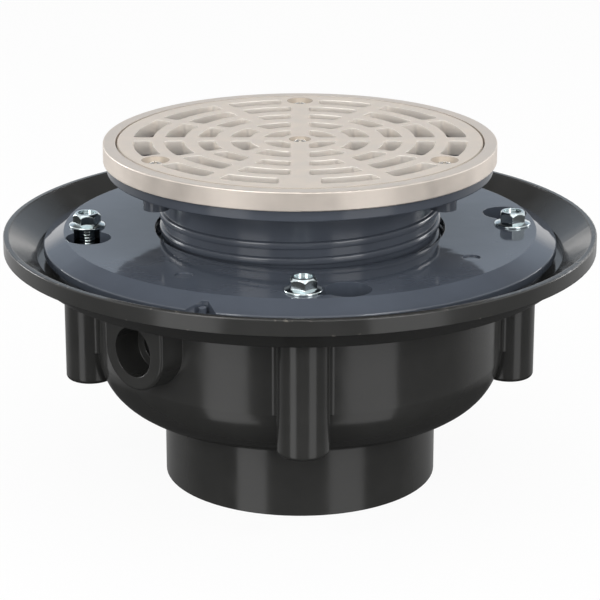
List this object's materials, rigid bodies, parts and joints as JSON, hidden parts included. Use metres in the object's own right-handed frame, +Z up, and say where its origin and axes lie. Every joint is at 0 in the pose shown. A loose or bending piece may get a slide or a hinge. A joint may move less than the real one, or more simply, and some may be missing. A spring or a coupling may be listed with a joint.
{
  "type": "floor drain",
  "caption": "Adjustable round floor drain: black bowl with dished flange and spigot outlet, bolted grey clamping collar, screw-up strainer head with metal ring and slotted grate.",
  "frame": {"origin": "centre of the outlet's bottom face, on the drain's axis", "axes": "+Z up along the drain's axis, -Y towards the viewer of the picture, trap primer port at 225 degrees"},
  "size_m": [0.2458, 0.2456, 0.1436],
  "materials": {
    "body_abs": "moulded black ABS, semi-gloss",
    "collar_pvc": "moulded grey PVC, glossy",
    "head_pvc": "moulded grey PVC, glossy",
    "seal_rubber": "matt black rubber",
    "ring_bronze": "turned nickel bronze, satin",
    "grate_bronze": "ground nickel bronze, satin",
    "bolt_zinc": "bright zinc plate",
    "screw_steel": "bright stainless steel",
    "insert_brass": "turned brass"
  },
  "bodies": {
    "body": {"drain_body": "body_abs", "collar_bolt_right": "bolt_zinc", "collar_bolt_back": "bolt_zinc", "collar_bolt_left": "bolt_zinc", "collar_bolt_front": "bolt_zinc", "bolt_insert_right": "insert_brass", "bolt_insert_back": "insert_brass", "bolt_insert_left": "insert_brass", "bolt_insert_front": "insert_brass"},
    "collar": {"clamping_collar": "collar_pvc"},
    "seal": {"neck_seal": "seal_rubber"},
    "head": {"strainer_head": "head_pvc", "strainer_ring": "ring_bronze", "strainer_grate": "grate_bronze", "centre_screw": "screw_steel", "grate_screw_back": "screw_steel", "grate_screw_left": "screw_steel", "grate_screw_right": "screw_steel", "screw_insert_back": "insert_brass", "screw_insert_left": "insert_brass", "screw_insert_right": "insert_brass"}
  },
  "joints": [
    {"name": "collar_twist", "type": "hinge", "parent": "body", "child": "collar", "pos_m": [0, 0, 0.1], "axis": [0, 0, 1], "range_deg": [-11.2, 0]},
    {"name": "head_rise", "type": "slide", "parent": "collar", "child": "seal", "axis": [0, 0, 1], "range_m": [-0.0163, 0.0032]},
    {"name": "head_turn", "type": "hinge", "parent": "seal", "child": "head", "pos_m": [0, 0, 0.11], "axis": [0, 0, 1], "range_deg": [-924, 180]}
  ],
  "couplings": [
    {"joint": "head_rise", "follows": "head_turn", "m_per_rad": 0.0010106}
  ]
}
